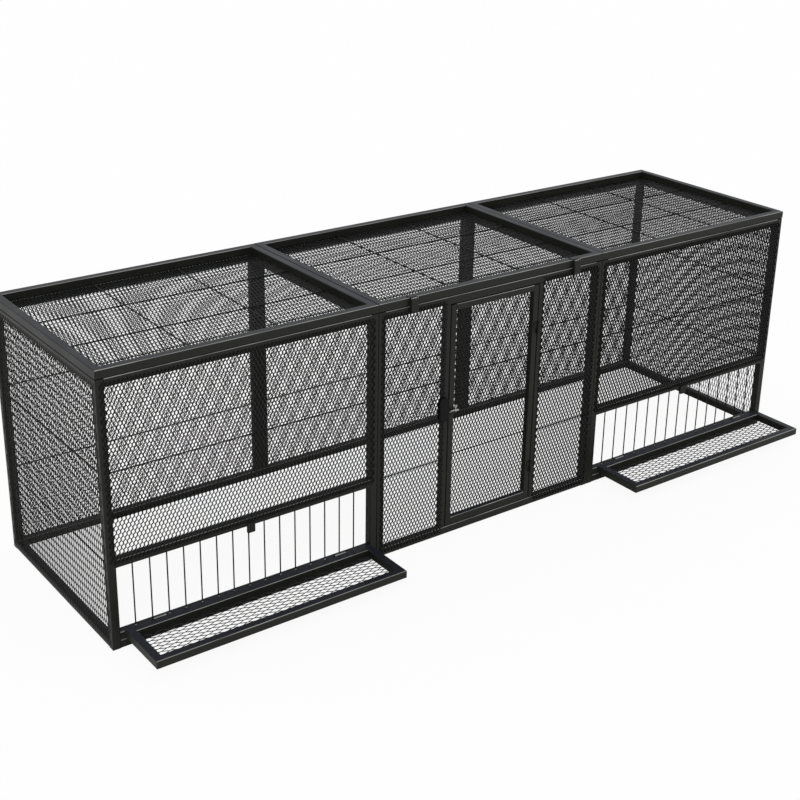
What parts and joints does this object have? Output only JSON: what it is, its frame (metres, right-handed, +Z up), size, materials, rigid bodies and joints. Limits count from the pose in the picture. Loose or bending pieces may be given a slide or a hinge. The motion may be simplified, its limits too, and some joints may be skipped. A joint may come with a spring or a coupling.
{
  "type": "pigeon cage",
  "caption": "Long free-standing pigeon cage of welded square tube and expanded metal: framed bays side by side, a front door, a lift-up lid, feed grilles and fold-up feed trays.",
  "frame": {"origin": "middle of the footprint of the whole cage, open trays included, on the ground", "axes": "+X runs along the cage from its left end to its right end as seen from the front, the front with the door and the trays faces -Y, and +Z is up"},
  "size_m": [2.642, 0.9104, 0.8289],
  "materials": {
    "frame_tube": "powder-coated square steel tube, satin, very dark greenish grey",
    "expanded_metal": "powder-coated expanded steel sheet, satin",
    "drawn_wire": "powder-coated drawn steel wire, satin",
    "fittings": "powder-coated pressed and rolled steel, satin",
    "bright_bolt": "bright zinc-plated steel",
    "plated_bolts": "zinc-plated steel",
    "keeper_moulding": "moulded black plastic, matt"
  },
  "bodies": {
    "frame": {"door_hinge_leaves": "fittings", "door_jambs": "frame_tube", "door_keeper": "keeper_moulding", "joining_bolts": "plated_bolts", "left_back_mesh": "expanded_metal", "left_end_mesh": "expanded_metal", "left_feed_bars": "drawn_wire", "left_feed_rails": "frame_tube", "left_front_mesh": "expanded_metal", "left_posts": "frame_tube", "left_rails": "frame_tube", "left_roof_frame": "frame_tube", "left_roof_mesh": "expanded_metal", "left_roof_wires": "drawn_wire", "left_tray_catch": "fittings", "left_tray_hinge_leaves": "fittings", "left_tray_rests": "fittings", "left_wall_wires": "drawn_wire", "lid_hinge_leaves": "fittings", "middle_back_mesh": "expanded_metal", "middle_front_mesh": "expanded_metal", "middle_posts": "frame_tube", "middle_rails": "frame_tube", "middle_wall_wires": "drawn_wire", "right_back_mesh": "expanded_metal", "right_end_mesh": "expanded_metal", "right_feed_bars": "drawn_wire", "right_feed_rails": "frame_tube", "right_front_mesh": "expanded_metal", "right_posts": "frame_tube", "right_rails": "frame_tube", "right_roof_frame": "frame_tube", "right_roof_mesh": "expanded_metal", "right_roof_wires": "drawn_wire", "right_tray_catch": "fittings", "right_tray_hinge_leaves": "fittings", "right_tray_rests": "fittings", "right_wall_wires": "drawn_wire"},
    "door": {"door_frame": "frame_tube", "door_mesh": "expanded_metal", "door_wires": "drawn_wire", "door_hinge_knuckles": "fittings", "door_bolt_sleeve": "fittings"},
    "door_bolt": {"door_bolt": "bright_bolt"},
    "lid": {"lid_frame": "frame_tube", "lid_mesh": "expanded_metal", "lid_wires": "drawn_wire", "lid_hinge_knuckles": "fittings", "lid_catch_brackets": "fittings"},
    "lid_catch_left": {"lid_catch_left": "fittings"},
    "lid_catch_right": {"lid_catch_right": "fittings"},
    "left_tray": {"left_tray_frame": "frame_tube", "left_tray_mesh": "expanded_metal", "left_tray_hinge_knuckles": "fittings"},
    "right_tray": {"right_tray_frame": "frame_tube", "right_tray_mesh": "expanded_metal", "right_tray_hinge_knuckles": "fittings"}
  },
  "joints": [
    {"name": "door_hinge", "type": "hinge", "parent": "frame", "child": "door", "pos_m": [0.1745, -0.26075, 0.4], "axis": [0, 0, 1], "range_deg": [0, 120]},
    {"name": "door_bolt_slide", "type": "slide", "parent": "door", "child": "door_bolt", "axis": [-1, 0, 0], "range_m": [0, 0.016]},
    {"name": "lid_hinge", "type": "hinge", "parent": "frame", "child": "lid", "pos_m": [0, 0.45025, 0.80095], "axis": [-1, 0, 0], "range_deg": [0, 180]},
    {"name": "lid_catch_left_pivot", "type": "hinge", "parent": "lid", "child": "lid_catch_left", "pos_m": [-0.32, -0.26125, 0.8239], "axis": [-1, 0, 0], "range_deg": [0, 120]},
    {"name": "lid_catch_right_pivot", "type": "hinge", "parent": "lid", "child": "lid_catch_right", "pos_m": [0.32, -0.26125, 0.8239], "axis": [-1, 0, 0], "range_deg": [0, 120]},
    {"name": "left_tray_fold", "type": "hinge", "parent": "frame", "child": "left_tray", "pos_m": [-0.88, -0.26275, 0.062], "axis": [-1, 0, 0], "range_deg": [0, 90]},
    {"name": "right_tray_fold", "type": "hinge", "parent": "frame", "child": "right_tray", "pos_m": [0.88, -0.26275, 0.062], "axis": [-1, 0, 0], "range_deg": [0, 90]}
  ]
}
